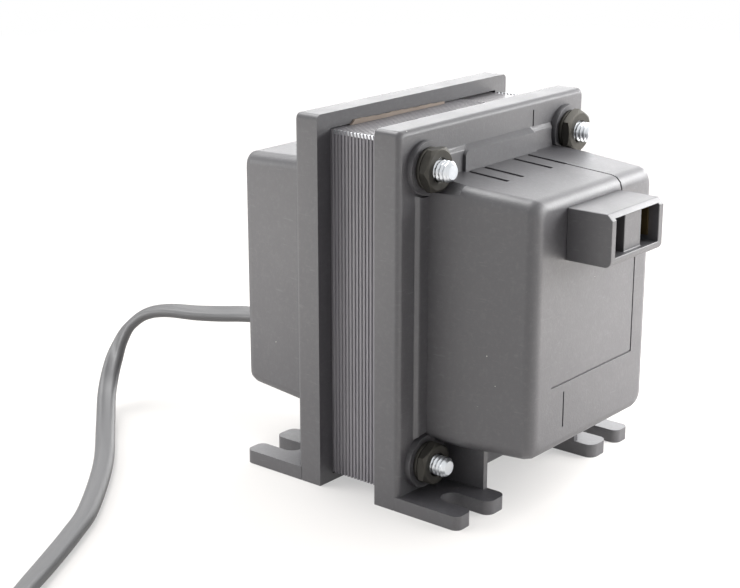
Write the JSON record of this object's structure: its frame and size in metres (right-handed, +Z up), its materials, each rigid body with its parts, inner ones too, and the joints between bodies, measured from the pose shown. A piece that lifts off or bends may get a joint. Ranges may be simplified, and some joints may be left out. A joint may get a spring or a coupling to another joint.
{
  "type": "travel voltage converter",
  "caption": "Step-down converter: laminated iron core clamped between two moulded end bells with slotted feet, an outlet on the front and a flat supply cord.",
  "frame": {"origin": "on the standing surface, under the middle of the converter's box without its cord", "axes": "+Z up, the outlet faces -Y, +X to the right seen from the outlet's side"},
  "size_m": [0.2337, 0.2025, 0.09],
  "materials": {
    "moulded_black": "moulded, fine matt texture",
    "outlet_black": "moulded, satin",
    "core_varnish": "punched silicon steel under black varnish",
    "bobbin_nylon": "moulded, natural",
    "enamelled_copper": "enamelled copper wire",
    "polyester_tape": "polyester tape",
    "insulating_board": "pressed insulating board",
    "fuse_case": "drawn case",
    "zinc_steel": "bright zinc plate",
    "dark_steel": "dark olive plating",
    "contact_brass": "stamped",
    "red_insulation": "extruded",
    "blue_insulation": "extruded",
    "bush_nylon": "moulded",
    "cord_pvc": "extruded flat twin, satin",
    "tie_nylon": "moulded",
    "plug_pvc": "moulded on the cord",
    "nickel_brass": "nickel plated"
  },
  "bodies": {
    "root": {"front_end_bell": "moulded_black", "rear_end_bell": "moulded_black", "outlet_housing": "outlet_black", "e_laminations": "core_varnish", "i_laminations": "core_varnish", "coil_bobbin": "bobbin_nylon", "splice_caps": "bobbin_nylon", "common_winding": "enamelled_copper", "series_winding": "enamelled_copper", "winding_wrap": "polyester_tape", "front_liner": "insulating_board", "rear_liner": "insulating_board", "thermal_fuse": "fuse_case", "clamp_bolts": "zinc_steel", "head_washers": "zinc_steel", "nut_washers": "dark_steel", "hex_nuts": "dark_steel", "outlet_contact_left": "contact_brass", "outlet_contact_right": "contact_brass", "output_leads": "red_insulation", "input_leads": "blue_insulation", "cord_bush": "bush_nylon", "supply_cord": "cord_pvc", "cord_coil": "cord_pvc", "coil_tie": "tie_nylon", "plug_body": "plug_pvc", "plug_pins": "nickel_brass"}
  },
  "joints": []
}
